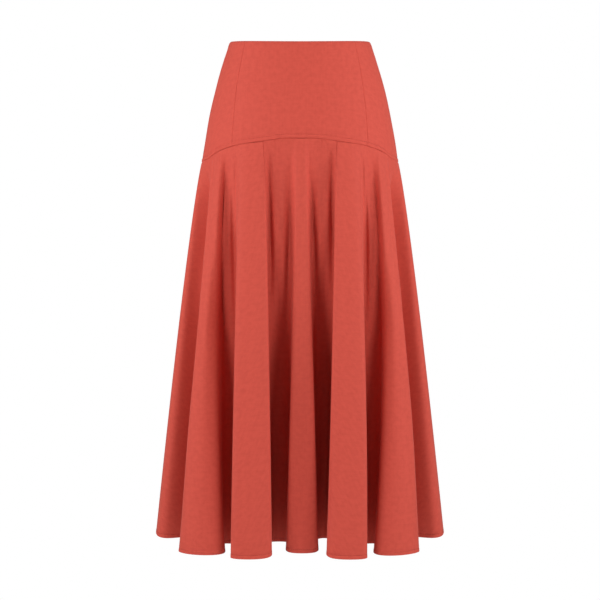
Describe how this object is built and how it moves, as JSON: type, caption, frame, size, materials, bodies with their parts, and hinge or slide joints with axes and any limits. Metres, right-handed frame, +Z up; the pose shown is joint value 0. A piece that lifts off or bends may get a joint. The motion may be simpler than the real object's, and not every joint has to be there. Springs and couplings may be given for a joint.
{
  "type": "midi skirt",
  "caption": "Midi skirt with a fitted hip yoke, a full lower part that falls in deep flutes from a dipped seam, and a concealed zip at the back.",
  "frame": {"origin": "middle of the waist opening, level with its edge at the sides", "axes": "+Z up, -Y towards the front, +X to the right of the skirt seen from the front"},
  "size_m": [0.4972, 0.4262, 0.846],
  "materials": {
    "cloth": "matt, finely woven",
    "zip_tape": "matt knitted tape",
    "zip_metal": "enamelled to match the cloth"
  },
  "bodies": {
    "skirt": {"yoke_front": "cloth", "yoke_front_side_right": "cloth", "yoke_back_side_right": "cloth", "yoke_back_right": "cloth", "yoke_back_left": "cloth", "yoke_back_side_left": "cloth", "yoke_front_side_left": "cloth", "skirt_front": "cloth", "skirt_front_side_right": "cloth", "skirt_back_side_right": "cloth", "skirt_back_right": "cloth", "skirt_back_left": "cloth", "skirt_back_side_left": "cloth", "skirt_front_side_left": "cloth", "zip_tape_right": "zip_tape", "zip_tape_left": "zip_tape", "zip_slider": "zip_metal"},
    "pull_tab": {"zip_pull": "zip_metal"}
  },
  "joints": [
    {"name": "pull_tab_hinge", "type": "hinge", "parent": "skirt", "child": "pull_tab", "pos_m": [0, 0.0972, -0.014], "axis": [1, 0, 0], "range_deg": [0, 150]}
  ]
}
